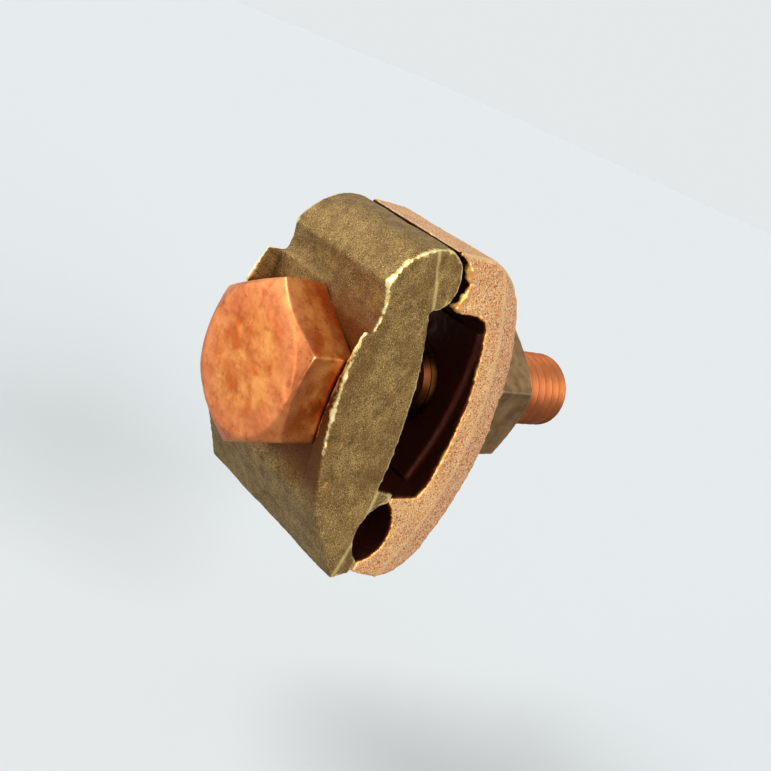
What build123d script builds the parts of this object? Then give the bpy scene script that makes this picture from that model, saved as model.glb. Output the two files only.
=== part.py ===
"""Earth rod clamp: two forged jaws drawn together by one M10 bolt and nut.

Millimetres. The origin lies on the bolt's axis, in the middle of the slot between the jaws.
X runs across the jaws, along the conductor. Y runs along the bolt, with the head at -Y.
Z points up, towards the lobe that the jaws rock on; the conductor's groove is at the foot.
"""
import os
from math import cos, radians, sin, sqrt, tan

from build123d import *

os.makedirs("parts", exist_ok=True)

# Bolt and nut: M10 hexagon sizes.
thread_diameter = 10.0
thread_pitch = 1.5
thread_depth = 0.85
thread_length = 30.0
bolt_length = 45.0
across_flats = 17.0
head_height = 6.4
nut_height = 8.0
end_chamfer = 0.9
nut_mouth_chamfer = 0.5
crown_share = 0.95
crown_angle = 30.0
nut_turn = 20.0

# Clearances between the pieces.
bolt_hole_clearance = 0.5
nut_thread_clearance = 0.05
head_side_clearance = 0.25
jaw_gap = 0.3

# Both jaws: their width grows towards the foot, and each side has a shallow ridge where the
# two halves of the forging die met.
slot_width = 8.8
front_thickness = 8.6
rear_thickness = 6.1
half_width_at_bolt = 10.65
side_lean = 7.45
draft_angle = 3.0
front_ridge_radius = 54.7
front_ridge_place = -4.5
front_ridge_height = 0.1
rear_ridge_radius = 31.7
rear_ridge_place = 7.3
rear_ridge_height = 2.1

# The lobe at the top of the front jaw, and the crown above the slot.
lobe_radius = 3.35
lobe_setback = 7.0
lobe_height = 15.0
shoulder_drop = 4.7
shoulder_round = 1.7
neck_depth = 0.6

# Front jaw: the head's channel between two ribs, and the sloped face below it.
right_rib_height = 1.7
right_rib_top = 8.4
right_rib_shoulder = 0.9
left_rib_height = 3.3
left_rib_top = 10.1
left_rib_shoulder = 2.0
rib_middle = -1.5
slope_top = -11.5
foot_setback = 4.8
front_foot = -19.3
inner_bow = 0.8
inner_bottom = -8.8
lip_height = -9.3
heel_height = 0.5

# Rear jaw: the socket round the lobe, the nose below it and the slot's far wall.
socket_radius = 3.9
socket_shift = 1.0
socket_drop = 0.8
socket_end_angle = -20.0
hook_reach = 2.0
nose_reach = 3.8
nose_thickness = 1.4
slot_headroom = 0.15
slot_bottom = -9.7
slot_corner = 2.0
slot_floor_bow = 2.3
pad_height = 0.5
pad_half_width = 8.7

# Rear jaw: its back, which swells to the nut's seat.
foot_step = 0.3
back_upper_drop = 6.15
back_upper_setback = 2.0
back_lower_height = -14.6
back_lower_setback = 4.5
top_flat_width = 5.0
heel_flat_width = 3.6
heel_rise = 0.8
nut_seat_depth = 0.3
nut_seat_diameter = 21.0

# The groove for the conductor, on a closing line that leans back towards the foot.
groove_radius = 3.75
groove_bite = 1.15
groove_drop = 13.9
groove_setback = 3.85
closing_lean = 16.0

# Places that follow from the sizes above.
rear_foot = front_foot - foot_step
ridge_reach = front_thickness + rear_thickness
front_inner = -slot_width / 2
rear_inner = slot_width / 2
head_seat = front_inner - front_thickness
back_crest = rear_inner + rear_thickness
nut_seat = back_crest - nut_seat_depth
jaw_top = lobe_height + lobe_radius
slot_top = lobe_height - lobe_radius + slot_headroom
lobe_y = head_seat + lobe_setback
socket_y = lobe_y + socket_shift
socket_z = lobe_height - socket_drop
corner_radius = across_flats / sqrt(3)
crown_radius = crown_share * across_flats / 2
crown_drop = (corner_radius - crown_radius) * tan(radians(crown_angle))
hole_radius = thread_diameter / 2 + bolt_hole_clearance
cut_reach = 3 * across_flats


def half_width(height):
    """Half the jaws' width over their parting ridges, at a height."""
    return half_width_at_bolt - height * tan(radians(side_lean))


def closing_line(height, gap=0.0):
    """A point on the leaning line where the jaws close, moved back or forward by a gap."""
    return (-groove_setback + (height + groove_drop) * tan(radians(closing_lean)) + gap, height)


def groove_centre(side):
    """Centre of the groove's arc: side 1 is the front jaw's, side -1 the rear jaw's."""
    lean = radians(closing_lean)
    return (-groove_setback + side * groove_bite * cos(lean),
            -groove_drop - side * groove_bite * sin(lean))


def side_plane(side, ridge_y, ridge_z):
    """A plane whose Y axis points out of one side of a jaw, at the middle of its ridge's circle."""
    lean = radians(side_lean)
    return Plane(origin=(side * half_width(ridge_z), ridge_y, ridge_z), x_dir=(0, 1, 0),
                 z_dir=(sin(lean), 0, -side * cos(lean)))


def under_ridge(radius):
    """Outline of what lies under one side: it falls away both ways from the ridge."""
    fall = tan(radians(draft_angle))
    depth = 3 * half_width_at_bolt
    return [(0, -depth), (0, -radius * fall), (radius, 0), (radius + ridge_reach, -ridge_reach * fall),
            (radius + ridge_reach, -depth), (0, -depth)]


# Front jaw -------------------------------------------------------------------
with BuildPart() as front_jaw:
    with BuildSketch(Plane.YZ) as front_outline:
        with BuildLine():
            foot = (head_seat + foot_setback, front_foot)
            neck_foot = (head_seat, right_rib_top)
            neck_middle = (head_seat + neck_depth, (right_rib_top + jaw_top - shoulder_drop) / 2)
            shoulder = (head_seat, jaw_top - shoulder_drop)
            shoulder_middle = (head_seat + shoulder_round, jaw_top - shoulder_drop / 2 + 0.2)
            lobe_top = (lobe_y, jaw_top)
            lobe_end = (lobe_y + lobe_radius, lobe_height)
            lobe_bottom = (lobe_y, lobe_height - lobe_radius)
            inner_low = (front_inner - inner_bow, inner_bottom)
            heel = closing_line(front_foot + heel_height, -jaw_gap / 2)
            Line(foot, (head_seat, slope_top))
            Line((head_seat, slope_top), neck_foot)
            ThreePointArc(neck_foot, neck_middle, shoulder)
            ThreePointArc(shoulder, shoulder_middle, lobe_top)
            ThreePointArc(lobe_top, lobe_end, lobe_bottom)
            ThreePointArc(lobe_bottom, (front_inner, 0), inner_low)
            Line(inner_low, closing_line(lip_height))
            Line(closing_line(lip_height), heel)
            Line(heel, foot)
        make_face()
        with Locations(groove_centre(1)):
            Circle(groove_radius, mode=Mode.SUBTRACT)
    extrude(amount=cut_reach / 2, both=True)

    with BuildSketch(Plane.YZ) as right_rib:
        with BuildLine():
            rib_start = (head_seat - right_rib_shoulder, right_rib_top)
            rib_root = (head_seat + neck_depth, right_rib_top)
            ThreePointArc(rib_start, (head_seat - right_rib_height, rib_middle), (head_seat, slope_top))
            Polyline((head_seat, slope_top), (rib_root[0], 0), rib_root, rib_start)
        make_face()
    extrude(amount=cut_reach / 2)

    with BuildSketch(Plane.YZ) as left_rib:
        with BuildLine():
            rib_start = (head_seat - left_rib_shoulder, left_rib_top)
            ThreePointArc(rib_start, (head_seat - left_rib_height, rib_middle), (head_seat, slope_top))
            rib_root = (head_seat + neck_depth, left_rib_top)
            Polyline((head_seat, slope_top), (rib_root[0], 0), rib_root, rib_start)
        make_face()
    extrude(amount=-cut_reach / 2)

    with BuildSketch(Plane.XZ.offset(-head_seat)) as head_channel:
        Rectangle(across_flats + 2 * head_side_clearance, cut_reach)
    extrude(amount=2 * left_rib_height, mode=Mode.SUBTRACT)

    for side in (1, -1):
        ridge = side_plane(side, front_ridge_place - front_ridge_radius, front_ridge_height)
        with BuildSketch(ridge) as front_side:
            with BuildLine():
                Polyline(*under_ridge(front_ridge_radius))
            make_face()
        revolve(axis=Axis(ridge.origin, ridge.y_dir), mode=Mode.INTERSECT)

    with BuildSketch(Plane.XZ) as front_hole:
        Circle(hole_radius)
    extrude(amount=cut_reach, both=True, mode=Mode.SUBTRACT)
front_jaw.part.label = "front_jaw"
export_step(front_jaw.part, "parts/front_jaw.step")

# Rear jaw --------------------------------------------------------------------
with BuildPart() as rear_jaw:
    with BuildSketch(Plane.YZ) as rear_outline:
        with BuildLine():
            hook_y = lobe_y + hook_reach
            hook_tip = (hook_y, socket_z + sqrt(socket_radius**2 - (hook_y - socket_y) ** 2))
            end_angle = radians(socket_end_angle)
            socket_side = (socket_y + socket_radius, socket_z)
            socket_end = (socket_y + socket_radius * cos(end_angle),
                          socket_z + socket_radius * sin(end_angle))
            nose_tip = (lobe_y + nose_reach, slot_top + nose_thickness / 2)
            nose_foot = (lobe_y + nose_reach + nose_thickness / 2, slot_top)
            corner_start = (rear_inner - slot_corner, slot_top)
            corner_middle = (rear_inner - 0.55 * slot_corner, slot_top - 0.4 * slot_corner)
            floor_top = (rear_inner - 0.35 * slot_corner, slot_top - slot_corner)
            floor_low = (rear_inner - slot_floor_bow, slot_bottom + 0.35 * slot_corner)
            floor_foot = (rear_inner - slot_floor_bow - 0.35 * slot_corner, slot_bottom)
            rear_lip = closing_line(slot_bottom, jaw_gap)
            rear_heel = closing_line(rear_foot + heel_rise, jaw_gap / 2)
            heel_end = (rear_heel[0] + heel_flat_width, rear_foot)
            back_low = (back_crest - back_lower_setback, back_lower_height)
            heel_middle = (back_crest - 1.6 * back_lower_setback,
                           rear_foot + 0.28 * (back_lower_height - rear_foot))
            back_high = (back_crest - back_upper_setback, jaw_top - back_upper_drop)
            top_middle = (back_crest - 2.45 * back_upper_setback, jaw_top - back_upper_drop / 3)
            top_end = (hook_y + top_flat_width, jaw_top)
            ThreePointArc(hook_tip, socket_side, socket_end)
            ThreePointArc(socket_end, nose_tip, nose_foot)
            Line(nose_foot, corner_start)
            ThreePointArc(corner_start, corner_middle, floor_top)
            ThreePointArc(floor_top, (rear_inner, 0), floor_low)
            Line(floor_low, floor_foot)
            Line(floor_foot, rear_lip)
            Line(rear_lip, rear_heel)
            Line(rear_heel, heel_end)
            ThreePointArc(heel_end, heel_middle, back_low)
            ThreePointArc(back_low, (back_crest, 0), back_high)
            ThreePointArc(back_high, top_middle, top_end)
            Line(top_end, (hook_y, jaw_top))
            Line((hook_y, jaw_top), hook_tip)
        make_face()
        with Locations(groove_centre(-1)):
            Circle(groove_radius, mode=Mode.SUBTRACT)
    extrude(amount=cut_reach / 2, both=True)

    with BuildSketch(Plane.YZ) as floor_pad:
        with BuildLine():
            pad_top = (floor_top[0] - pad_height, floor_top[1])
            pad_low = (floor_low[0] - pad_height, floor_low[1])
            pad_root = rear_inner + rear_thickness / 4
            ThreePointArc(pad_top, (rear_inner - pad_height, 0), pad_low)
            Polyline(pad_low, (pad_root, pad_low[1]), (pad_root, pad_top[1]), pad_top)
        make_face()
    extrude(amount=pad_half_width, both=True)

    for side in (1, -1):
        ridge = side_plane(side, rear_ridge_place - rear_ridge_radius, rear_ridge_height)
        with BuildSketch(ridge) as rear_side:
            with BuildLine():
                Polyline(*under_ridge(rear_ridge_radius))
            make_face()
        revolve(axis=Axis(ridge.origin, ridge.y_dir), mode=Mode.INTERSECT)

    with BuildSketch(Plane.XZ.offset(-nut_seat)) as nut_spot:
        Circle(nut_seat_diameter / 2)
    extrude(amount=-rear_thickness, mode=Mode.SUBTRACT)
    with BuildSketch(Plane.XZ) as rear_hole:
        Circle(hole_radius)
    extrude(amount=cut_reach, both=True, mode=Mode.SUBTRACT)
rear_jaw.part.label = "rear_jaw"
export_step(rear_jaw.part, "parts/rear_jaw.step")

# Bolt ------------------------------------------------------------------------
# The thread is ring grooves at its pitch, left off where the rear jaw and the nut hide it.
bolt_end = head_seat + bolt_length
with BuildPart() as clamp_bolt:
    with BuildSketch(Plane.XZ.offset(-head_seat)) as head_outline:
        RegularPolygon(corner_radius, 6, rotation=30)
    extrude(amount=head_height)
    with BuildSketch(Plane.XY) as head_crown:
        with BuildLine():
            face = head_seat - head_height
            Polyline((0, head_seat), (corner_radius, head_seat), (corner_radius, face + crown_drop),
                     (crown_radius, face), (0, face), (0, head_seat))
        make_face()
    revolve(axis=Axis.Y, mode=Mode.INTERSECT)
    with BuildSketch(Plane.XZ.offset(-head_seat)) as shank:
        Circle(thread_diameter / 2)
    extrude(amount=-bolt_length)
    chamfer(clamp_bolt.edges().sort_by(Axis.Y)[-1], end_chamfer)
    with BuildSketch(Plane.XY) as thread_grooves:
        for turn in range(int(thread_length / thread_pitch)):
            middle = bolt_end - (turn + 0.5) * thread_pitch
            if rear_inner < middle < nut_seat + nut_height - thread_pitch:
                continue
            rim = thread_diameter / 2
            with BuildLine():
                Polyline((rim, middle - thread_pitch / 2), (rim + thread_depth, middle - thread_pitch / 2),
                         (rim + thread_depth, middle + thread_pitch / 2), (rim, middle + thread_pitch / 2),
                         (rim - thread_depth, middle), (rim, middle - thread_pitch / 2))
            make_face()
    revolve(axis=Axis.Y, mode=Mode.SUBTRACT)
clamp_bolt.part.label = "clamp_bolt"
export_step(clamp_bolt.part, "parts/clamp_bolt.step")

# Nut -------------------------------------------------------------------------
with BuildPart() as clamp_nut:
    with BuildSketch(Plane.XZ.offset(-nut_seat)) as nut_outline:
        RegularPolygon(corner_radius, 6, rotation=nut_turn)
    extrude(amount=-nut_height)
    with BuildSketch(Plane.XY) as nut_section:
        with BuildLine():
            bore_radius = thread_diameter / 2 + nut_thread_clearance
            mouth_radius = bore_radius + nut_mouth_chamfer
            near, far = nut_seat, nut_seat + nut_height
            Polyline((bore_radius, near + nut_mouth_chamfer), (mouth_radius, near), (crown_radius, near),
                     (corner_radius, near + crown_drop), (corner_radius, far - crown_drop), (crown_radius, far),
                     (mouth_radius, far), (bore_radius, far - nut_mouth_chamfer),
                     (bore_radius, near + nut_mouth_chamfer))
        make_face()
    revolve(axis=Axis.Y, mode=Mode.INTERSECT)
clamp_nut.part.label = "clamp_nut"
export_step(clamp_nut.part, "parts/clamp_nut.step")
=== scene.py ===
# %% [markdown]
# # An earth rod clamp
#
# The clamp is two jaws, one bolt and one nut. Its frame comes from the CAD model: X runs across
# the jaws, Y along the bolt, Z up, and the origin sits on the bolt's axis in the slot. Blender
# works in metres, so `MM` turns a workshop size into a scene size.

# %% Load the frame
import math

import bmesh
import bpy
import numpy as np
from mathutils import Matrix, Vector, noise
from mathutils.kdtree import KDTree


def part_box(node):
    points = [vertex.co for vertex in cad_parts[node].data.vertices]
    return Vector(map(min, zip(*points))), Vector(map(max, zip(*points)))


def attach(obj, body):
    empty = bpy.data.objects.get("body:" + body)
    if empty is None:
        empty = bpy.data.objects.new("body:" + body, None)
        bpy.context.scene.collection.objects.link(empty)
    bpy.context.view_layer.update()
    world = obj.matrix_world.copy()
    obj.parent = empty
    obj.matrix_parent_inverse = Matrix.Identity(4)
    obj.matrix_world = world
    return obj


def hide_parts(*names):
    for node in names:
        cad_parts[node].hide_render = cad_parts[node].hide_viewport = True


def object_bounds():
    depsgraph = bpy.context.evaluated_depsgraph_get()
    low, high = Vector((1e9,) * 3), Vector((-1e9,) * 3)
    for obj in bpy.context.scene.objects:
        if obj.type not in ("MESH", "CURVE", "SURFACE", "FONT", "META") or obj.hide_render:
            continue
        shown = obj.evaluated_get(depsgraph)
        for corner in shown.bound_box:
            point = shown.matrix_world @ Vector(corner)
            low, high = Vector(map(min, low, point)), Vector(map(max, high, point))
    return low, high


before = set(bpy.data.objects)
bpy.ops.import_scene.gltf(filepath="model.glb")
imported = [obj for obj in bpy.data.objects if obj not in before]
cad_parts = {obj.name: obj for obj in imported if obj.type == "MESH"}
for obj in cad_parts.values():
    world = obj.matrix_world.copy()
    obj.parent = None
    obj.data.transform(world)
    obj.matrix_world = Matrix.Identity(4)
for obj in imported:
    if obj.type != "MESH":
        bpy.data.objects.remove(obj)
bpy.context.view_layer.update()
MM = 0.001
scene = bpy.context.scene
print("nodes:", sorted(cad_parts))

# %% [markdown]
# ## The camera
#
# A close camera with a strong perspective makes a small object look large. This one stands about
# twelve centimetres away, looks down a little on the clamp, and is rolled to one side. Its turn
# could be typed as three angles, but a target is easier to think about: `to_track_quat` points
# the camera at it, and a turn about the camera's own axis adds the roll.

# %% Camera
CAMERA_PLACE = Vector((77.13, -82.55, 34.91)) * MM
CAMERA_TARGET = Vector((0.03, 1.91, -1.48)) * MM
CAMERA_ROLL = math.radians(23.4)
LENS_MM = 46.86
SENSOR_MM = 36.0
NEAREST_SEEN = 5.0 * MM


def add_camera():
    """A camera at the working distance, aimed at the slot and rolled."""
    data = bpy.data.cameras.new("bench_camera")
    data.lens = LENS_MM
    data.sensor_width = SENSOR_MM
    data.clip_start = NEAREST_SEEN
    camera = bpy.data.objects.new("bench_camera", data)
    aim = (CAMERA_TARGET - CAMERA_PLACE).to_track_quat("-Z", "Y").to_matrix().to_4x4()
    roll = Matrix.Rotation(CAMERA_ROLL, 4, "Z")
    camera.matrix_world = Matrix.Translation(CAMERA_PLACE) @ aim @ roll
    scene.collection.objects.link(camera)
    scene.camera = camera


add_camera()
print("camera distance:", round((CAMERA_TARGET - CAMERA_PLACE).length / MM, 1), "mm")

# %% [markdown]
# ## An even skin
#
# A CAD mesh has long thin triangles and knife-sharp edges. Real castings and forgings have
# neither. Beveling every edge of a CAD mesh is fragile, because its triangles are slivers. So
# each piece is copied instead, its loose triangles are welded, and a voxel remesh gives it an
# even skin of small quads, which any noise or smoothing can then shape. The remesh melts together
# whatever overlaps, so stray beads of metal only have to touch the copy before it.

# %% Mesh pieces
WELD = 1e-7


def link_mesh(name, mesh):
    """A new object at the origin that shows a mesh."""
    piece = bpy.data.objects.new(name, mesh)
    scene.collection.objects.link(piece)
    return piece


def apply_modifiers(piece):
    """Bakes the modifiers of a piece into its mesh."""
    graph = bpy.context.evaluated_depsgraph_get()
    mesh = bpy.data.meshes.new_from_object(piece.evaluated_get(graph))
    piece.modifiers.clear()
    piece.data = mesh


def welded_node(node):
    """A bmesh of a CAD node with its loose triangles joined."""
    weld = bmesh.new()
    weld.from_mesh(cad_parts[node].data)
    bmesh.ops.remove_doubles(weld, verts=weld.verts, dist=WELD)
    return weld


print("front jaw's loose CAD triangles:", len(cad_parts["front_jaw"].data.polygons))

# %% Remeshed copies
VOXEL = 0.2 * MM


def drop_past(solid, place):
    """Cuts a bmesh across Y, drops the far part and closes the hole."""
    whole = solid.verts[:] + solid.edges[:] + solid.faces[:]
    cut = bmesh.ops.bisect_plane(solid, geom=whole, plane_co=(0, place, 0), plane_no=(0, 1, 0),
                                 clear_outer=True)
    rim = [edge for edge in cut["geom_cut"] if isinstance(edge, bmesh.types.BMEdge)]
    bmesh.ops.holes_fill(solid, edges=rim)


def remeshed_copy(node, name, voxel=VOXEL, cut_after=None, beads=()):
    """An evenly meshed copy of a CAD node.

    cut_after drops what lies past that place along Y. beads are small balls of metal melted onto
    the copy, each with its X, Y, Z and radius in millimetres.
    """
    weld = welded_node(node)
    if cut_after is not None:
        drop_past(weld, cut_after)
    for bead_x, bead_y, bead_z, radius in beads:
        place = Matrix.Translation(Vector((bead_x, bead_y, bead_z)) * MM)
        bmesh.ops.create_icosphere(weld, subdivisions=2, radius=radius * MM, matrix=place)
    mesh = bpy.data.meshes.new(name)
    weld.to_mesh(mesh)
    weld.free()
    piece = link_mesh(name, mesh)
    remesh = piece.modifiers.new("even_skin", "REMESH")
    remesh.mode = "VOXEL"
    remesh.voxel_size = voxel
    apply_modifiers(piece)
    print(name, "faces:", len(piece.data.polygons))
    return piece


front_jaw_skin = remeshed_copy("front_jaw", "front_jaw_skin")

# %% [markdown]
# ## Averaging
#
# Tumbling and blasting round every edge of a jaw, and handling then rubs those edges bright. A
# Bevel modifier could round them, but it would say nothing about wear. Averaging does both: each
# vertex moves to the middle of its neighbours, and where an edge sticks out, the middle lies
# inside, so the distance moved says how sharp the edge was. The Smooth modifier averages too, but
# it keeps no record of that distance, so here it is done on arrays.

# %% Averaging
def mesh_arrays(mesh):
    """Vertex places, edge ends and vertex normals of a mesh as arrays."""
    places = np.empty(len(mesh.vertices) * 3, np.float64)
    mesh.vertices.foreach_get("co", places)
    ends = np.empty(len(mesh.edges) * 2, np.int64)
    mesh.edges.foreach_get("vertices", ends)
    normals = np.empty(len(mesh.vertices) * 3, np.float64)
    mesh.vertices.foreach_get("normal", normals)
    return places.reshape(-1, 3), ends.reshape(-1, 2), normals.reshape(-1, 3)


def averaged(values, ends, passes, strength=0.5):
    """Values moved towards the mean of their neighbours, a number of times."""
    neighbours = np.bincount(ends.ravel(), minlength=len(values)).reshape(-1, 1)
    neighbours = np.maximum(neighbours, 1)
    for _ in range(passes):
        total = np.zeros_like(values)
        np.add.at(total, ends[:, 0], values[ends[:, 1]])
        np.add.at(total, ends[:, 1], values[ends[:, 0]])
        values = values + strength * (total / neighbours - values)
    return values


print("front jaw's edges:", len(mesh_arrays(front_jaw_skin.data)[1]))

# %% [markdown]
# ## Numbers kept on the vertices
#
# An attribute is a number that a mesh keeps for each vertex, under a name that a material can
# read. Vertex groups and painted colours could carry the same marks, but an attribute is a plain
# number, it can pass 1, and it moves with the vertex whatever is done to the shape afterwards.

# %% Values on vertices
def store(piece, name, values):
    """Keeps one number for each vertex as an attribute."""
    layer = piece.data.attributes.get(name) or piece.data.attributes.new(name, "FLOAT", "POINT")
    layer.data.foreach_set("value", np.asarray(values, np.float32))


def stored(piece, name):
    """The numbers of an attribute as an array."""
    values = np.empty(len(piece.data.vertices), np.float32)
    piece.data.attributes[name].data.foreach_get("value", values)
    return values.astype(np.float64)


def ramp(values, low, high):
    """0 before low, 1 past high, and a smooth step between. low may be the larger one."""
    share = np.clip((values - low) / (high - low), 0.0, 1.0)
    return share * share * (3.0 - 2.0 * share)


print("a ramp from 0 to 2:", ramp(np.array([0.0, 0.5, 1.0, 1.5, 2.0]), 0.0, 2.0))

# %% [markdown]
# ## Rounded edges and their wear in one step
#
# A few passes of averaging round the edges. Many more passes give a much smoother copy, and how
# far a vertex stands out from that copy is its `edge_wear_and_shade`: above 0 on edges, below 0 in corners.
# The finishes paint rubbed metal with a painted highlight where this number is high, and painted
# shade in corners where it is low.

# %% Rounded front jaw
EDGE_SMOOTHING = 6
WEAR_SMOOTHING = 26
WEAR_UNIT = 0.1 * MM


def round_and_mark(piece, passes=EDGE_SMOOTHING, wear_passes=WEAR_SMOOTHING):
    """Rounds a piece's edges and stores how far each point stands out as edge_wear_and_shade."""
    places, ends, normals = mesh_arrays(piece.data)
    rounded = averaged(places, ends, passes)
    inside = averaged(rounded, ends, wear_passes)
    standing = ((rounded - inside) * normals).sum(axis=1) / WEAR_UNIT
    piece.data.vertices.foreach_set("co", rounded.ravel())
    store(piece, "edge_wear_and_shade", standing)
    piece.data.polygons.foreach_set("use_smooth", np.ones(len(piece.data.polygons), bool))
    piece.data.update()
    print(piece.name, "edge wear:", round(float(standing.min()), 2), round(float(standing.max()), 2))


round_and_mark(front_jaw_skin)

# %% [markdown]
# ## The rear jaw
#
# The copper jaw has a hooked socket that the front jaw's lobe rocks in. Its rim was never
# dressed, and a row of small beads of metal still hangs on it. They could be separate little
# spheres, but then each would show a seam, so they go onto the copy before its remesh.

# %% Rounded rear jaw with its beads
# X, Y, Z and radius of each bead in millimetres, from the top of the socket down.
SOCKET_BEADS = (
    (8.15, -2.05, 16.50, 0.58),
    (8.30, -1.65, 15.70, 0.42),
    (8.45, -1.30, 14.40, 0.36),
    (8.55, -1.50, 13.70, 0.45),
    (8.65, -1.90, 13.05, 0.48),
    (8.65, -2.45, 12.60, 0.52),
    (8.70, -1.80, 12.25, 0.40),
)
rear_jaw_skin = remeshed_copy("rear_jaw", "rear_jaw_skin", beads=SOCKET_BEADS)
round_and_mark(rear_jaw_skin)

# %% [markdown]
# ## Where a jaw gets dark patina and painted shade, burrs, rubbing and painted highlights
#
# The slot and the conductor's groove were never blasted, so their walls have a dark patina; they
# are painted almost black, which adds painted shade where little light reaches in. Burrs stand
# along their rims. The sides carry a fine raised line where the two halves of the tool met; it is
# painted as rubbed metal with a painted highlight, and the copper side behind it is painted pinker
# as painted shading. A painted image could show all this, but it would need a UV map and would blur
# close up, and noise alone doesn't know where the slot is. Each mark has a known place on the jaw,
# so it is worked out for every vertex and stored as an attribute.

# %% Dark patina and painted shade, burrs and the parting line
SIDE_LEAN = math.tan(math.radians(7.45))
HALF_WIDTH_MM = 10.65
SLOT_TOP_MM = 11.75
SLOT_BOTTOM_MM = -9.7
GROOVE_RADIUS_MM = 3.75
PATINA_SHADE_SPREAD_MM = 0.25
WALL_FACING = 0.75
# Each pair says where a mark starts to fade in and where it is full.
PATINA_SHADE_INSET_MM = (0.05, 0.5)
BURR_REACH_MM = (0.42, 0.05)
INSIDE_MM = (0.9, 1.4)
LINE_REACH_MM = (0.36, 0.10)
LINE_FACING = (0.7, 0.9)
RIDGE_BLEND_MM = (-0.6, 0.6)


def jaw_places(piece):
    """X, Y and Z of each vertex in millimetres, and how deep it lies inside the leaning sides."""
    x, y, z = (mesh_arrays(piece.data)[0] / MM).T
    return x, y, z, HALF_WIDTH_MM - z * SIDE_LEAN - np.abs(x)


def mark_patina_shade_and_burrs(piece, slot_side, hollows):
    """Stores the mark for dark patina and painted shade on the slot's wall and on round hollows, and
    slot_burr along their rims.

    slot_side says which places along Y lie on the slot's side of the jaw. A hollow is its centre
    along Y and Z and its radius in millimetres.
    """
    places, _, normals = mesh_arrays(piece.data)
    _, y, z, inset = jaw_places(piece)
    in_height = (z > SLOT_BOTTOM_MM - PATINA_SHADE_SPREAD_MM) & (z < SLOT_TOP_MM + PATINA_SHADE_SPREAD_MM)
    wall = slot_side(y) & in_height
    for centre_y, centre_z, radius in hollows:
        wall |= np.hypot(y - centre_y, z - centre_z) < radius + PATINA_SHADE_SPREAD_MM
    wall &= np.abs(normals[:, 0]) < WALL_FACING
    # Painted shade: the walls are darkened, partly for their patina and partly for shade where light
    # hardly reaches.
    store(piece, "slot_patina_and_shade", np.where(wall, ramp(inset, *PATINA_SHADE_INSET_MM), 0.0))
    tree = KDTree(int(np.count_nonzero(wall)))
    for index in np.flatnonzero(wall):
        tree.insert(places[index], int(index))
    tree.balance()
    reach = np.array([tree.find(place)[2] for place in places]) / MM
    store(piece, "slot_burr", ramp(reach, *BURR_REACH_MM) * (1.0 - ramp(inset, *INSIDE_MM)))
    print(piece.name, "sooty points:", int(np.count_nonzero(wall)))


def mark_ridge(piece, centre_y, centre_z, radius):
    """Stores parting_line along the sides' curved ridge, painted as rubbed metal with a painted
    highlight, and a mark for painted shading on the side behind it.
    """
    facing_out = np.abs(mesh_arrays(piece.data)[2][:, 0])
    _, y, z, _ = jaw_places(piece)
    along_side = (z - centre_z) * math.hypot(1.0, SIDE_LEAN)
    from_ridge = np.hypot(y - centre_y, along_side) - radius
    # Painted highlight: a light line along the ridge, which the mesh doesn't raise.
    on_line = ramp(np.abs(from_ridge), *LINE_REACH_MM) * ramp(facing_out, *LINE_FACING)
    store(piece, "parting_line", on_line)
    # Painted shading for the side behind the ridge, as if it were a face at another angle.
    store(piece, "past_ridge_shading", ramp(from_ridge, *RIDGE_BLEND_MM))
    print(piece.name, "points on the parting line:", int(np.count_nonzero(on_line > 0.5)))


# %% [markdown]
# ## Marks on the front jaw
#
# The front jaw's edges are rubbed, with a painted highlight on top of the wear, most round the hump
# and the ribs, a little less along the slot, and hardly at all on the lower slope. Behind the ribs
# only the outer edges are rubbed, not the corners inside. The channel that keeps the bolt's head
# from turning is stained brown, and the same brown is a painted reflection of the copper bolt head.

# %% Marks on the front jaw
FRONT_SLOT_MM = -6.6
FRONT_GROOVE = (-2.745, -14.217, GROOVE_RADIUS_MM)
RIB_BACK_MM = -13.2
SLOT_EDGE_WEAR_AND_HIGHLIGHT = 0.8
FOOT_WEAR_AND_HIGHLIGHT = 0.1


def mark_front_jaw(piece):
    """Dark patina and painted shade, parting line, wear with a painted highlight, and the brown
    channel beside the bolt's head, part stain and part painted reflection.
    """
    mark_patina_shade_and_burrs(piece, lambda y: y > FRONT_SLOT_MM, [FRONT_GROOVE])
    mark_ridge(piece, centre_y=-59.2, centre_z=0.1, radius=54.7)
    x, y, z, inset = jaw_places(piece)
    outer_edge = np.where(y > RIB_BACK_MM, ramp(inset, 1.3, 0.7), 1.0)
    beside_slot = (y > -7.5) & (z < 11.0)
    # Painted highlight: rubbed edges carry a highlight too, full high up and faint at the foot.
    above_foot = FOOT_WEAR_AND_HIGHLIGHT + (1.0 - FOOT_WEAR_AND_HIGHLIGHT) * ramp(z, -9.0, -1.0)
    keep = outer_edge * np.where(beside_slot, SLOT_EDGE_WEAR_AND_HIGHLIGHT, above_foot)
    wear_and_shade = stored(piece, "edge_wear_and_shade")
    store(piece, "edge_wear_and_shade", np.where(wear_and_shade > 0, wear_and_shade * keep, wear_and_shade))
    # Painted reflection: the channel's brown is partly a stain and partly the copper bolt head
    # mirrored in it.
    height = ramp(z, 12.5, 8.5) * ramp(z, -12.0, -8.0)
    floor = ramp(y, -11.4, -12.1) * ramp(inset, 0.2, 0.9)
    store(piece, "channel_stain_and_reflection", height * ramp(x, -8.0, 7.0) * floor)


mark_front_jaw(front_jaw_skin)

# %% [markdown]
# ## Marks on the rear jaw
#
# The beads at the socket get a painted highlight, so the dark patina and painted shade are kept off
# them. The rear jaw's edges are rubbed bright, with a painted highlight that is strongest near its
# top and weaker towards its foot, and the burrs are hardly rubbed at all.

# %% Marks on the rear jaw
REAR_SLOT_MM = 4.75
REAR_GROOVE = (-4.955, -13.583, GROOVE_RADIUS_MM)
SOCKET = (-5.0, 14.2, 3.9)
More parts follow.
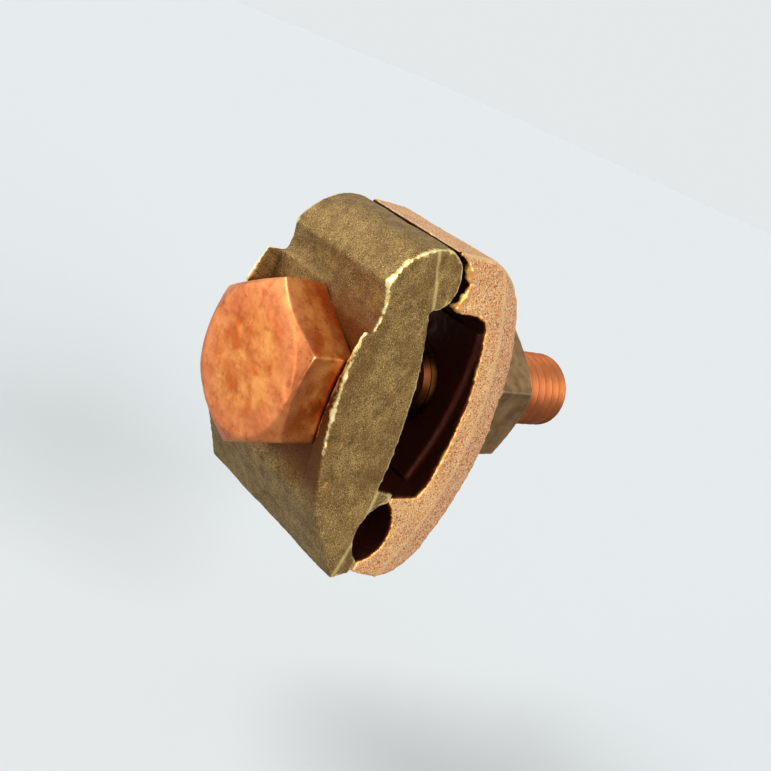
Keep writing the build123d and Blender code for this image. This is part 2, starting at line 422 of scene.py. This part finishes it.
# The beads' share of the burr mark, which raises them a little and gives them a painted highlight.
BEAD_BURR_AND_HIGHLIGHT = 0.55
REAR_FOOT_WEAR_AND_HIGHLIGHT = 0.3


def mark_rear_jaw(piece):
    """Dark patina and painted shade, parting line, beads with a painted highlight, and wear with a
    painted highlight towards the top.
    """
    mark_patina_shade_and_burrs(piece, lambda y: y < REAR_SLOT_MM, [REAR_GROOVE, SOCKET])
    mark_ridge(piece, centre_y=-24.4, centre_z=2.1, radius=31.7)
    x, y, z, _ = jaw_places(piece)
    near_bead = np.zeros(len(x))
    for bead_x, bead_y, bead_z, radius in SOCKET_BEADS:
        reach = np.sqrt((x - bead_x) ** 2 + (y - bead_y) ** 2 + (z - bead_z) ** 2)
        near_bead = np.maximum(near_bead, ramp(reach, 1.5 * radius, 1.1 * radius))
    store(piece, "slot_patina_and_shade", stored(piece, "slot_patina_and_shade") * (1.0 - near_bead))
    burr = stored(piece, "slot_burr") * (1.0 - near_bead)
    # Painted highlight: the beads take the burrs' bright colour instead of the dark walls.
    store(piece, "slot_burr", np.maximum(burr, BEAD_BURR_AND_HIGHLIGHT * near_bead))
    # Painted highlight: rubbed edges brighten towards the top, where the light falls.
    lit_towards_top = REAR_FOOT_WEAR_AND_HIGHLIGHT + (1.0 - REAR_FOOT_WEAR_AND_HIGHLIGHT) * ramp(z, 4.0, 14.0)
    keep = (1.0 - stored(piece, "slot_burr")) * lit_towards_top
    wear_and_shade = stored(piece, "edge_wear_and_shade")
    store(piece, "edge_wear_and_shade", np.where(wear_and_shade > 0, wear_and_shade * keep, wear_and_shade))


mark_rear_jaw(rear_jaw_skin)

# %% [markdown]
# ## Forged and blasted skin
#
# Even a smooth jaw is never quite flat: the tool leaves slow waves, scale leaves small pits, and
# blasting leaves a fine grain. Bump shading could fake all of it, but a silhouette would stay
# straight. So three sizes of noise move each vertex along its normal, and only the finest grain,
# which is too small for the mesh, is left to the material's bump.

# %% Uneven skin
SLOW_WAVE_MM = 5.0
LUMP_MM = 1.3
GRAIN_MM = 0.45
PIT_MM = 1.7 * LUMP_MM
BURR_MM = 0.7
PIT_THRESHOLD = 0.42
PIT_STEEPNESS = 3.0
BURR_DIP = -0.1
LEAST_BURR_MM = 0.009


def uneven_skin(piece, wave, lump, grain, pit, seed, burrs=None):
    """Moves a piece's skin by slow waves, lumps, grain and a few pits, in millimetres.

    burrs is how high burrs may stand at each vertex.
    """
    places, _, normals = mesh_arrays(piece.data)
    shift = Vector((seed * 17.3, seed * 5.1, seed * 9.7))
    heights = np.empty(len(places))
    for index, place in enumerate(places / MM):
        spot = Vector(place) + shift
        pitted = max(0.0, noise.noise(spot / PIT_MM + shift) - PIT_THRESHOLD)
        heights[index] = (wave * noise.noise(spot / SLOW_WAVE_MM) + lump * noise.noise(spot / LUMP_MM)
                          + grain * noise.noise(spot / GRAIN_MM) - pit * pitted * PIT_STEEPNESS)
        if burrs is not None and burrs[index] > LEAST_BURR_MM:
            heights[index] += burrs[index] * max(BURR_DIP, noise.noise(spot / BURR_MM))
    places += normals * (heights * MM).reshape(-1, 1)
    piece.data.vertices.foreach_set("co", places.ravel())
    piece.data.update()
    print(piece.name, "skin moved by", round(heights.min(), 2), "to", round(heights.max(), 2), "mm")


uneven_skin(front_jaw_skin, wave=0.10, lump=0.035, grain=0.035, pit=0.22, seed=1)

# %% [markdown]
# ## Burrs on the rear jaw
#
# A burr is metal squeezed out past an edge. It could be a strip of its own along the rim, but the
# skin is fine enough to raise one: noise that hardly dips lifts the rim here and there.

# %% Burrs on the rear jaw
BURR_HEIGHT_MM = 0.45


def rim_burrs(piece):
    """How high burrs may stand: a little along every rim, most at the socket on the +X side."""
    x, _, z, _ = jaw_places(piece)
    size = 0.25 + 1.4 * ramp(z, 10.5, 12.5) * ramp(x, 0.0, 4.0)
    return BURR_HEIGHT_MM * (stored(piece, "slot_burr") * size)


uneven_skin(rear_jaw_skin, wave=0.08, lump=0.03, grain=0.04, pit=0.08, seed=2,
            burrs=rim_burrs(rear_jaw_skin))

# %% [markdown]
# ## The bolt's head and plain shank
#
# The bolt is an M10 with a plain shank next to its hexagon head. A head could be drawn afresh
# from a cylinder with six sides, but the CAD bolt already has its chamfer in the right place. So
# the threaded end is cut off by a plane, and the same remesh and averaging round the hexagon. The
# cut lies a length of thread before the bolt's end, which the frame gives.

# %% Bolt head and shank
FINE_VOXEL = 0.16 * MM
FINE_EDGE_SMOOTHING = 5
FINE_WEAR_SMOOTHING = 22
THREAD_LENGTH = 30.0 * MM
bolt_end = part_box("clamp_bolt")[1].y
thread_start = bolt_end - THREAD_LENGTH
bolt_skin = remeshed_copy("clamp_bolt", "bolt_skin", FINE_VOXEL, thread_start)
round_and_mark(bolt_skin, FINE_EDGE_SMOOTHING, FINE_WEAR_SMOOTHING)
uneven_skin(bolt_skin, wave=0.05, lump=0.02, grain=0.012, pit=0.05, seed=3)

# %% [markdown]
# ## The thread
#
# A thread is one tooth's outline spun around the axis while it moves along it. The Screw modifier
# does that too, but here the result has to be cut and capped, and `bmesh.ops.spin` keeps it all
# in one mesh. It takes the move as `dvec`, a little for each step. With a rise of one pitch a
# turn, each turn meets the one before it edge to edge, so welding leaves one continuous skin.

# %% Spun teeth
THREAD_PITCH = 1.5 * MM
THREAD_RADIUS = 5.0 * MM
THREAD_DEPTH = 0.9 * MM
THREAD_OVERLAP = 0.4 * MM
TURN_STEPS = 48
SPARE_TURNS = 3
SEAM = 1e-6
# One tooth: how far along the pitch each point lies, and how deep below the crest.
TOOTH = (
    (0.0, 0.0),
    (0.07, 0.03),
    (0.40, 0.95),
    (0.46, 1.0),
    (0.54, 1.0),
    (0.60, 0.95),
    (0.93, 0.03),
    (1.0, 0.0),
)


def spun_teeth(start, end):
    """A threaded tube along Y that reaches past start and end."""
    rod = bmesh.new()
    turns = math.ceil((end - start) / THREAD_PITCH) + SPARE_TURNS
    base = start - SPARE_TURNS / 2 * THREAD_PITCH
    outline = [rod.verts.new((THREAD_RADIUS - THREAD_DEPTH * depth, base + along * THREAD_PITCH, 0.0))
               for along, depth in TOOTH]
    for first, second in zip(outline, outline[1:]):
        rod.edges.new((first, second))
    bmesh.ops.spin(rod, geom=rod.verts[:] + rod.edges[:], axis=(0, 1, 0), cent=(0, 0, 0),
                   dvec=(0, THREAD_PITCH / TURN_STEPS, 0), angle=math.tau * turns,
                   steps=TURN_STEPS * turns)
    bmesh.ops.remove_doubles(rod, verts=rod.verts, dist=SEAM)
    print("turns spun:", turns)
    return rod


tube_start = thread_start - THREAD_OVERLAP
thread = spun_teeth(tube_start, bolt_end)

# %% [markdown]
# ## The ends of the thread
#
# Two planes cut the tube to length, and a flat face closes each cut. A rolled thread doesn't stop
# dead at the shank, so its grooves get shallower there. The far end has the chamfer that lets a
# nut start: no vertex may stand outside a cone.

# %% Thread cut, faded and chamfered
THREAD_RUNOUT = 2.2 * MM
END_CHAMFER = 1.0 * MM


def cut_end(rod, place, outward):
    """Cuts the rod across Y at a place and closes it there."""
    whole = rod.verts[:] + rod.edges[:] + rod.faces[:]
    bmesh.ops.bisect_plane(rod, geom=whole, plane_co=(0, place, 0), plane_no=(0, outward, 0),
                           clear_outer=True)
    rim = [edge for edge in rod.edges
           if edge.is_boundary and all(abs(vert.co.y - place) < SEAM for vert in edge.verts)]
    bmesh.ops.contextual_create(rod, geom=rim)


def shape_ends(rod, start, end):
    """Fades the grooves out towards the shank and turns a chamfer on the far end."""
    for vert in rod.verts:
        reach = math.hypot(vert.co.x, vert.co.z)
        if reach < SEAM:
            continue
        fade = min(1.0, max(0.0, (vert.co.y - start) / THREAD_RUNOUT))
        cone = THREAD_RADIUS - END_CHAMFER + (end - vert.co.y)
        wanted = min(THREAD_RADIUS - (THREAD_RADIUS - reach) * fade, cone)
        vert.co.x *= wanted / reach
        vert.co.z *= wanted / reach
    bmesh.ops.recalc_face_normals(rod, faces=rod.faces)


cut_end(thread, tube_start, -1)
cut_end(thread, bolt_end, 1)
shape_ends(thread, tube_start, bolt_end)
print("thread faces:", len(thread.faces))

# %% [markdown]
# ## One bolt
#
# The thread joins the head and shank in one mesh, because the bolt is one piece of steel, and two
# objects would have to be kept together by hand. The shank inside the jaws is painted dark brown as
# painted shade, the thread is duller than the plating on the head, and the plating is pinker towards
# the head's rim. These are attributes again.

# %% Bolt in one piece
def join_shell(piece, shell):
    """Adds a closed bmesh shell to a finished piece's mesh, with no wear on it."""
    added = bpy.data.meshes.new("added_shell")
    shell.to_mesh(added)
    shell.free()
    added.polygons.foreach_set("use_smooth", np.ones(len(added.polygons), bool))
    both = bmesh.new()
    both.from_mesh(piece.data)
    both.from_mesh(added)
    both.to_mesh(piece.data)
    both.free()
    bpy.data.meshes.remove(added)


def mark_bolt(piece):
    """Stores where the bolt gets painted shade inside the jaws, where its thread is dull and where
    its head's rim is.
    """
    x, y, z = (mesh_arrays(piece.data)[0] / MM).T
    # Painted shade: the shank inside the jaws, where little light reaches.
    store(piece, "slot_patina_and_shade", ramp(np.abs(y), 6.0, 4.0))
    store(piece, "thread_dull", ramp(y, 8.0, 10.0))
    store(piece, "head_rim", ramp(np.hypot(x, z), 4.0, 7.5) * ramp(y, -17.0, -19.0))


join_shell(bolt_skin, thread)
mark_bolt(bolt_skin)
print("bolt faces:", len(bolt_skin.data.polygons))

# %% [markdown]
# ## The nut
#
# The nut is plain hexagon bronze. A fresh model would gain nothing over the CAD nut, so it gets
# the same even skin as the bolt's head. Its bore is hidden by the bolt.

# %% Nut
nut_skin = remeshed_copy("clamp_nut", "nut_skin", FINE_VOXEL)
round_and_mark(nut_skin, FINE_EDGE_SMOOTHING, FINE_WEAR_SMOOTHING)
uneven_skin(nut_skin, wave=0.04, lump=0.02, grain=0.02, pit=0.04, seed=4)

# %% [markdown]
# ## Tools for the finishes
#
# A finish could be a picture wrapped round the piece, but pictures blur close up and need seams.
# Here each is a Principled shader fed by noise, which has neither. The noise reads Object
# coordinates, scaled so that one unit is a millimetre, so its sizes can be read off the real
# piece. The helpers add a node, wire it, and blend two colours by a factor.

# %% Wiring
def feed(tree, socket, value):
    """Links a node's output to a socket, or sets the socket to a number or colour."""
    if isinstance(value, bpy.types.NodeSocket):
        tree.links.new(value, socket)
    else:
        socket.default_value = value


def srgb(red, green, blue):
    """A colour given as 0-255 screen values, as the shader wants it."""
    def linear(value):
        value = value / 255.0
        return value / 12.92 if value <= 0.04045 else ((value + 0.055) / 1.055) ** 2.4
    return (linear(red), linear(green), linear(blue), 1.0)


print("middle grey on screen is", round(srgb(128, 128, 128)[0], 3), "in the shader")


# %% A finish under construction
class Finish:
    """A metal's material, and short names for the nodes that shape it."""

    SPECULAR = 0.25
    NOISE_ROUGHNESS = 0.55

    def __init__(self, name, metallic):
        self.material = bpy.data.materials.new(name)
        self.material.use_nodes = True
        self.tree = self.material.node_tree
        self.shader = self.tree.nodes["Principled BSDF"]
        self.shader.inputs["Metallic"].default_value = metallic
        self.shader.inputs["Specular IOR Level"].default_value = self.SPECULAR
        place = self.add("ShaderNodeTexCoord")
        self.millimetres = self.add("ShaderNodeMapping", Vector=place.outputs["Object"],
                                    Scale=(1000.0, 1000.0, 1000.0)).outputs["Vector"]

    def add(self, kind, **sockets):
        """Adds a node and sets or links its named inputs."""
        made = self.tree.nodes.new(kind)
        for name, value in sockets.items():
            feed(self.tree, made.inputs[name.replace("_", " ")], value)
        return made

    def noise(self, size_mm, detail, shift=0.0):
        """Noise whose features are about size_mm across. shift keeps two noises apart."""
        where = self.millimetres
        if shift:
            where = self.add("ShaderNodeMapping", Vector=where,
                             Location=(shift, shift, shift)).outputs["Vector"]
        return self.add("ShaderNodeTexNoise", Vector=where, Scale=1.0 / size_mm, Detail=detail,
                        Roughness=self.NOISE_ROUGHNESS).outputs["Fac"]

    def attribute(self, name):
        """A number stored on the piece's vertices."""
        made = self.add("ShaderNodeAttribute")
        made.attribute_name = name
        return made.outputs["Fac"]

    def range(self, value, low, high, to_low=0.0, to_high=1.0):
        """Maps low..high to to_low..to_high, and holds the ends."""
        return self.add("ShaderNodeMapRange", Value=value, From_Min=low, From_Max=high,
                        To_Min=to_low, To_Max=to_high).outputs["Result"]

    def math(self, operation, first, second):
        """Adds or multiplies two values."""
        made = self.add("ShaderNodeMath")
        made.operation = operation
        feed(self.tree, made.inputs[0], first)
        feed(self.tree, made.inputs[1], second)
        return made.outputs["Value"]

    def mix(self, factor, first, second):
        """Blends two colours. A Mix node has them at inputs 6 and 7, and the blend at output 2."""
        made = self.add("ShaderNodeMix")
        made.data_type = "RGBA"
        feed(self.tree, made.inputs[0], factor)
        feed(self.tree, made.inputs[6], first)
        feed(self.tree, made.inputs[7], second)
        return made.outputs[2]

    def stain(self, under, attribute, most, colour):
        """Lays a colour over another where an attribute says so, up to a largest share."""
        return self.mix(self.range(self.attribute(attribute), 0.0, 1.0, 0.0, most), under, colour)

    def finish(self, colour, roughness, grain, strength, depth_mm):
        """Wires the colour, the roughness and a fine bump to the shader."""
        bump = self.add("ShaderNodeBump", Height=grain, Strength=strength, Distance=depth_mm * MM)
        feed(self.tree, self.shader.inputs["Base Color"], colour)
        feed(self.tree, self.shader.inputs["Roughness"], roughness)
        feed(self.tree, self.shader.inputs["Normal"], bump.outputs["Normal"])
        print(self.material.name, "nodes:", len(self.tree.nodes))
        return self.material


# %% [markdown]
# ## Blasted bronze
#
# The front jaw is an olive bronze. Its corners and creases get painted shade, the blasted skin gets
# painted glints on fine grains, and wherever an edge stands out the metal is rubbed to gold, with a
# painted highlight on top of the wear. It is only partly metallic: a blasted skin scatters light,
# and a full metal with no window to mirror turns black.

# %% Bronze
BRONZE_DULL = srgb(134, 103, 56)
BRONZE_BRIGHT = srgb(172, 138, 80)
BRONZE_GRAIN = srgb(76, 54, 24)
# Painted glints on the blasted grains.
BRONZE_GLINT = srgb(232, 204, 146)
BRONZE_STAIN = srgb(104, 72, 34)
# Rubbed gold with a painted highlight, and a near-white painted highlight on the sharpest edges.
BRONZE_WEAR_AND_HIGHLIGHT = srgb(252, 228, 150)
BRONZE_POLISHED_HIGHLIGHT = srgb(255, 248, 214)
# Painted shade in corners and creases.
BRONZE_CREASE_SHADE = srgb(54, 36, 14)
# A brown stain plus a painted reflection of the copper bolt head.
CHANNEL_STAIN_AND_REFLECTION = srgb(98, 50, 12)
# Dark patina plus painted shade on the walls of the slot, the groove and the socket.
SLOT_PATINA_AND_SHADE = srgb(64, 24, 10)


def blasted_bronze():
    """Olive bronze with grain, painted glints, stains, a brown channel that is part stain and part
    painted reflection, a parting line, gold edges with painted highlights, painted shade in creases
    and slot walls painted black for patina and shade.
    """
    skin = Finish("blasted_bronze", metallic=0.62)
    grain = skin.noise(0.15, detail=2.0)
    glint_noise = skin.noise(0.11, detail=1.0, shift=51.0)
    mottle = skin.noise(1.6, detail=4.0, shift=11.0)
    stain = skin.noise(3.5, detail=5.0, shift=37.0)
    scuff = skin.noise(0.5, detail=2.0, shift=43.0)
    wear_and_shade = skin.attribute("edge_wear_and_shade")
    colour = skin.mix(skin.range(mottle, 0.35, 0.65), BRONZE_DULL, BRONZE_BRIGHT)
    colour = skin.mix(skin.range(grain, 0.36, 0.56, 0.85, 0.0), colour, BRONZE_GRAIN)
    # Painted glints: bright specks where the grains would catch the light.
    colour = skin.mix(skin.range(glint_noise, 0.60, 0.72, 0.0, 0.8), colour, BRONZE_GLINT)
    colour = skin.mix(skin.range(stain, 0.50, 0.68, 0.0, 0.5), colour, BRONZE_STAIN)
    # A brown stain plus a painted reflection of the copper bolt head.
    colour = skin.stain(colour, "channel_stain_and_reflection", 0.85, CHANNEL_STAIN_AND_REFLECTION)
    # Painted highlight along the parting line, over rubbed metal.
    colour = skin.stain(colour, "parting_line", 0.45, BRONZE_WEAR_AND_HIGHLIGHT)
    # Painted highlight: rubbed edges are painted gold and, where sharpest, near white.
    rubbing_and_highlight = skin.math("ADD", wear_and_shade, skin.range(mottle, 0.3, 0.7, -0.45, 0.45))
    rubbing_and_highlight = skin.math("ADD", rubbing_and_highlight, skin.range(scuff, 0.3, 0.7, -0.4, 0.3))
    bright = skin.range(rubbing_and_highlight, 0.80, 1.40)
    colour = skin.mix(bright, colour, BRONZE_WEAR_AND_HIGHLIGHT)
    colour = skin.mix(skin.range(rubbing_and_highlight, 1.4, 2.0), colour, BRONZE_POLISHED_HIGHLIGHT)
    # Painted shade: corners and creases, where the skin sits below its neighbours, are darkened.
    colour = skin.mix(skin.range(wear_and_shade, -1.6, -0.5, 0.75, 0.0), colour, BRONZE_CREASE_SHADE)
    # Painted shade: the slot walls go almost black, part patina and part shade.
    colour = skin.mix(skin.attribute("slot_patina_and_shade"), colour, SLOT_PATINA_AND_SHADE)
    roughness = skin.range(bright, 0.0, 1.0, 0.55, 0.3)
    return skin.finish(colour, roughness, grain, strength=0.6, depth_mm=0.06)


jaw_bronze = blasted_bronze()

# %% [markdown]
# ## Blasted copper
#
# The rear jaw is copper. Blasting left it pale, with dark pores; its grains carry painted glints, and
# behind the ridge on its sides it is painted pinker as painted shading. The burrs along the slot are
# burnt brown, and painted highlights lie on them and on their beads. The grains could be real dents
# in the mesh, but at a sixth of a millimetre they would need millions of faces, so two noises colour
# them, one of them as painted glints, and a bump makes them catch the light.

# %% Copper casting
COPPER_DULL = srgb(234, 158, 96)
COPPER_BRIGHT = srgb(252, 188, 122)
# Painted shading: the side behind the ridge is tinted pinker.
COPPER_RIDGE_SHADING = srgb(232, 160, 122)
# Painted glints on the blasted grains.
COPPER_GLINT = srgb(255, 230, 182)
COPPER_PORE = srgb(130, 60, 26)
# Rubbed copper with a painted highlight.
COPPER_WEAR_AND_HIGHLIGHT = srgb(255, 208, 150)
# Painted shade in corners and creases.
COPPER_CREASE_SHADE = srgb(84, 40, 22)
COPPER_BURNT = srgb(122, 48, 18)
# Painted highlight on burrs and beads.
COPPER_BEAD_HIGHLIGHT = srgb(250, 184, 100)


def blasted_copper():
    """Pale copper with painted glints on its grain, pores, a parting line, painted shading behind the
    ridge, painted highlights on beads and burrs, and burnt burrs.
    """
    skin = Finish("blasted_copper", metallic=0.62)
    grain = skin.noise(0.17, detail=2.0)
    pores = skin.noise(0.20, detail=1.0, shift=23.0)
    mottle = skin.noise(2.4, detail=3.0, shift=5.0)
    wear_and_shade = skin.attribute("edge_wear_and_shade")
    colour = skin.mix(skin.range(mottle, 0.35, 0.65), COPPER_DULL, COPPER_BRIGHT)
    # Painted shading: the side behind the ridge is tinted pinker.
    colour = skin.stain(colour, "past_ridge_shading", 0.55, COPPER_RIDGE_SHADING)
    # Painted glints: the grain noise lays bright specks.
    colour = skin.mix(skin.range(grain, 0.48, 0.66), colour, COPPER_GLINT)
    colour = skin.mix(skin.range(pores, 0.50, 0.68, 0.0, 0.8), colour, COPPER_PORE)
    # Painted highlight along the parting line, over rubbed metal.
    colour = skin.stain(colour, "parting_line", 0.55, COPPER_WEAR_AND_HIGHLIGHT)
    # Painted highlight: standing edges are painted pale, as rubbed metal with a highlight.
    bright = skin.range(wear_and_shade, 0.6, 1.4)
    colour = skin.mix(bright, colour, COPPER_WEAR_AND_HIGHLIGHT)
    # Painted shade: corners and creases, where the skin sits below its neighbours, are darkened.
    colour = skin.mix(skin.range(wear_and_shade, -1.6, -0.5, 0.85, 0.0), colour, COPPER_CREASE_SHADE)
    patches = skin.range(mottle, 0.3, 0.7, -0.25, 0.15)
    burr = skin.math("ADD", skin.attribute("slot_burr"), patches)
    # Painted highlight: burrs and beads are painted bright gold.
    colour = skin.mix(skin.range(burr, 0.15, 0.5), colour, COPPER_BEAD_HIGHLIGHT)
    colour = skin.mix(skin.range(burr, 0.75, 0.95), colour, COPPER_BURNT)
    # Painted shade: the slot walls go almost black, part patina and part shade.
    colour = skin.mix(skin.attribute("slot_patina_and_shade"), colour, SLOT_PATINA_AND_SHADE)
    roughness = skin.range(bright, 0.0, 1.0, 0.46, 0.3)
    return skin.finish(colour, roughness, grain, strength=0.5, depth_mm=0.05)


jaw_copper = blasted_copper()

# %% [markdown]
# ## Copper plating on the bolt
#
# Plating is thin and smooth, so it is nearly a full metal and glossier than the jaws. Handling
# has turned it brown in patches, opened a few pits and left its edges bright. A steel with a
# copper coat over it would be the literal way, but no steel shows through, so one metal whose
# colour and roughness change from place to place is enough.

# %% Plated steel
PLATE_BROWN = srgb(214, 108, 44)
PLATE_ORANGE = srgb(246, 164, 88)
PLATE_PINK = srgb(236, 142, 92)
PLATE_DARK = srgb(184, 76, 30)
PLATE_PIT = srgb(96, 40, 16)
PLATE_RUBBED = srgb(255, 190, 132)
# Painted shade for the shank inside the jaws.
SHANK_SHADE = srgb(48, 20, 9)
THREAD_DULL = srgb(160, 94, 60)


def copper_plate():
    """Clouded plating with pits and bright edges, painted shade inside the jaws, and dull on the
    thread.
    """
    skin = Finish("copper_plate", metallic=0.95)
    cloud = skin.noise(3.2, detail=4.0, shift=3.0)
    fine = skin.noise(1.1, detail=5.0, shift=19.0)
    pits = skin.noise(0.24, detail=2.0, shift=71.0)
    colour = skin.mix(skin.range(cloud, 0.40, 0.62), PLATE_BROWN, PLATE_ORANGE)
    colour = skin.stain(colour, "head_rim", 0.6, PLATE_PINK)
    colour = skin.mix(skin.range(fine, 0.50, 0.72, 0.0, 0.6), colour, PLATE_DARK)
    colour = skin.mix(skin.range(pits, 0.66, 0.72, 0.0, 0.8), colour, PLATE_PIT)
    colour = skin.mix(skin.range(skin.attribute("edge_wear_and_shade"), 0.7, 1.5), colour, PLATE_RUBBED)
    # Painted shade on the shank inside the jaws.
    colour = skin.stain(colour, "slot_patina_and_shade", 0.95, SHANK_SHADE)
    colour = skin.stain(colour, "thread_dull", 0.75, THREAD_DULL)
    rougher = skin.math("MULTIPLY", skin.attribute("thread_dull"), 0.15)
    roughness = skin.math("ADD", skin.range(cloud, 0.3, 0.7, 0.30, 0.46), rougher)
    return skin.finish(colour, roughness, fine, strength=0.3, depth_mm=0.05)


bolt_plating = copper_plate()

# %% [markdown]
# ## The nut's bronze
#
# The nut is a duller, browner bronze than the jaw. Giving it the jaw's finish would be quicker,
# but the grains would make it look blasted. It is smooth, so it has soft clouds of tone and no
# sparkle.

# %% Nut's bronze
NUT_DULL = srgb(150, 116, 76)
NUT_BRIGHT = srgb(196, 158, 110)
NUT_RUBBED = srgb(236, 206, 160)


def plain_bronze():
    """Smooth bronze with soft clouds and brighter edges."""
    skin = Finish("plain_bronze", metallic=0.92)
    grain = skin.noise(0.25, detail=3.0)
    cloud = skin.noise(2.0, detail=3.0, shift=8.0)
    bright = skin.range(skin.attribute("edge_wear_and_shade"), 0.5, 1.2)
    colour = skin.mix(skin.range(cloud, 0.35, 0.65), NUT_DULL, NUT_BRIGHT)
    colour = skin.mix(bright, colour, NUT_RUBBED)
    roughness = skin.range(bright, 0.0, 1.0, 0.42, 0.28)
    return skin.finish(colour, roughness, grain, strength=0.4, depth_mm=0.04)


nut_metal = plain_bronze()

# %% [markdown]
# ## Dressing the pieces
#
# Each skin takes one material and stands for its CAD node, which is then hidden. It rides on that
# node's body, so the jaws can open and the nut can turn with nothing animated by hand.

# %% Dress the pieces
def dress(piece, material, node, body):
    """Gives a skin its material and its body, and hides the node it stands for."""
    piece.data.materials.clear()
    piece.data.materials.append(material)
    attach(piece, body)
    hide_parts(node)
    print(piece.name, "rides on", body)


dress(front_jaw_skin, jaw_bronze, "front_jaw", "front")
dress(bolt_skin, bolt_plating, "clamp_bolt", "front")
dress(rear_jaw_skin, jaw_copper, "rear_jaw", "rear")
dress(nut_skin, nut_metal, "clamp_nut", "nut")

# %% [markdown]
# ## The floor
#
# The ground is a plain pale floor. A backdrop that curves up behind it is the usual way to hide
# the horizon, but here the world behind has the same colour, so a flat sheet is enough. It takes
# the clamp's shadow, but metal doesn't mirror it: a floor this close would hide the studio from
# every face that looks down.

# %% Floor
PALE = srgb(228, 232, 233)
FLOOR_DROP = 30.0 * MM
FLOOR_HALF = 3000.0 * MM


def add_floor():
    """A matt floor below the clamp, with its height taken from the clamp's own box."""
    low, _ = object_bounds()
    sheet = bmesh.new()
    bmesh.ops.create_grid(sheet, x_segments=4, y_segments=4, size=FLOOR_HALF)
    bmesh.ops.translate(sheet, verts=sheet.verts, vec=(0, 0, low[2] - FLOOR_DROP))
    mesh = bpy.data.meshes.new("floor")
    sheet.to_mesh(mesh)
    sheet.free()
    paint = bpy.data.materials.new("pale_floor")
    paint.use_nodes = True
    shader = paint.node_tree.nodes["Principled BSDF"]
    shader.inputs["Base Color"].default_value = PALE
    shader.inputs["Roughness"].default_value = 1.0
    shader.inputs["Specular IOR Level"].default_value = 0.0
    mesh.materials.append(paint)
    floor = link_mesh("floor", mesh)
    floor.visible_glossy = False
    print("floor height:", round((low[2] - FLOOR_DROP) / MM, 1), "mm")


add_floor()

# %% [markdown]
# ## The studio
#
# Metal shows what it reflects. A real studio is bright above and on the camera's side and dimmer
# behind. Big lamp panels could stand for its windows, but they would mirror as hard rectangles.
# So the world itself is graded: mirror rays meet it bright on one side and dim on the other, the
# rest of the light is even, and the camera sees it plain and pale.

# %% World
WINDOW_SIDE = Vector((-0.50, -0.60, 0.62)).normalized()
EVEN_LIGHT = 0.42
DIMMEST_MIRRORED = 0.2
FULL_FACING = 0.85


def add_world():
    """A pale world for the camera, graded for mirror rays, and softer for the rest."""
    world = bpy.data.worlds.new("studio")
    scene.world = world
    world.use_nodes = True
    tree = world.node_tree
    back = tree.nodes["Background"]
    back.inputs["Color"].default_value = PALE
    ray = tree.nodes.new("ShaderNodeLightPath")
    way = tree.nodes.new("ShaderNodeTexCoord")
    facing = tree.nodes.new("ShaderNodeVectorMath")
    facing.operation = "DOT_PRODUCT"
    facing.inputs[1].default_value = WINDOW_SIDE
    tree.links.new(way.outputs["Generated"], facing.inputs[0])
    grade = tree.nodes.new("ShaderNodeMapRange")
    grade.inputs["From Min"].default_value = -1.0
    grade.inputs["From Max"].default_value = FULL_FACING
    grade.inputs["To Min"].default_value = DIMMEST_MIRRORED
    tree.links.new(facing.outputs["Value"], grade.inputs["Value"])

    def choose(which_ray, otherwise, strength):
        """One strength for a kind of ray, and another for the rest."""
        made = tree.nodes.new("ShaderNodeMix")
        feed(tree, made.inputs["Factor"], ray.outputs[which_ray])
        feed(tree, made.inputs["A"], otherwise)
        feed(tree, made.inputs["B"], strength)
        return made.outputs["Result"]

    mirrored = choose("Is Glossy Ray", EVEN_LIGHT, grade.outputs["Result"])
    tree.links.new(choose("Is Camera Ray", mirrored, 1.0), back.inputs["Strength"])
    print("world nodes:", len(tree.nodes))


add_world()

# %% [markdown]
# ## Three soft suns
#
# An area lamp would light the near floor more than the far one. A sun lights all of it evenly, so
# only the clamp's own shadow is on it, and a wide angle makes that shadow soft. One sun comes
# from above, one lights the jaws' near sides, and a weak one fills in from the camera's left.

# %% Lamps
SUNS = (
    ("key_sun", (-0.45, -0.45, 0.85), 1.15, 30),
    ("side_sun", (0.80, -0.05, 0.36), 2.6, 40),
    ("front_sun", (-0.50, -0.80, 0.15), 0.9, 60),
)


def add_sun(name, towards, strength, angle):
    """A sun that shines from the given side, with its whole angle in degrees."""
    data = bpy.data.lights.new(name, "SUN")
    data.energy = strength
    data.angle = math.radians(angle)
    lamp = bpy.data.objects.new(name, data)
    lamp.matrix_world = Vector(towards).to_track_quat("Z", "Y").to_matrix().to_4x4()
    scene.collection.objects.link(lamp)
    print(name, "strength:", strength)


for sun in SUNS:
    add_sun(*sun)

# %% [markdown]
# ## Plain colour
#
# The Standard view shows colours as written, where a filmic view would grey them.

# %% Finish
scene.view_settings.view_transform = "Standard"
